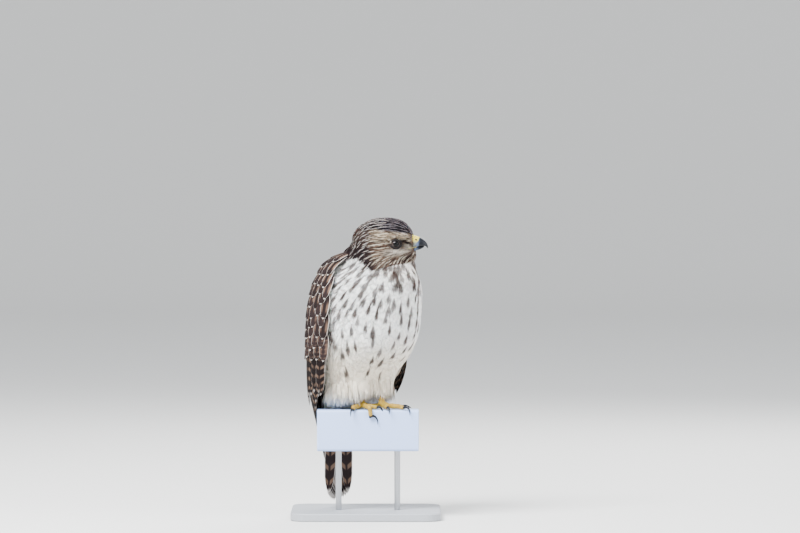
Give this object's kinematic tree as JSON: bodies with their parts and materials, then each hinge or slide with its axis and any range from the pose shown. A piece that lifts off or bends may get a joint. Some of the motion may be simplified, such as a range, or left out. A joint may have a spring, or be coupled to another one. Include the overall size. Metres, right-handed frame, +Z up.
{
  "type": "juvenile red-shouldered hawk on a perch",
  "caption": "Life-size young hawk standing upright on a short length of rail, head turned to its left, held over a flat base by two rods.",
  "frame": {"origin": "middle of the stand base's underside", "axes": "+Z up; the rail runs along X with its front face to -Y; the bird faces -Y turned 42 degrees towards +X"},
  "size_m": [0.224, 0.204, 0.451],
  "materials": {
    "plumage": "soft matt feathers, white to cream with brown streaks",
    "dark_plumage": "matt dark brown feathers with pale edges and bars",
    "scaled_skin": "yellow scaled skin",
    "cere_skin": "smooth pale yellow skin",
    "horn": "dark blue-grey horn, softly glossy",
    "eye": "wet glossy, grey-brown iris and black pupil",
    "rail_paint": "smooth pale blue-white paint",
    "stand_paint": "plain satin grey paint",
    "stand_steel": "brushed steel"
  },
  "bodies": {
    "root": {"torso": "plumage", "neck": "plumage", "head": "plumage", "wing_left": "dark_plumage", "thigh_left": "plumage", "tarsus_left": "scaled_skin", "foot_left": "scaled_skin", "eye_left": "eye", "stand_rod_left": "stand_steel", "claw_left_inner": "horn", "claw_left_middle": "horn", "claw_left_outer": "horn", "claw_left_hind": "horn", "wing_right": "dark_plumage", "thigh_right": "plumage", "tarsus_right": "scaled_skin", "foot_right": "scaled_skin", "eye_right": "eye", "stand_rod_right": "stand_steel", "claw_right_inner": "horn", "claw_right_middle": "horn", "claw_right_outer": "horn", "claw_right_hind": "horn", "tail": "dark_plumage", "cere": "cere_skin", "beak_upper": "horn", "beak_lower": "horn", "stand_base": "stand_paint", "perch_rail": "rail_paint"}
  },
  "joints": []
}
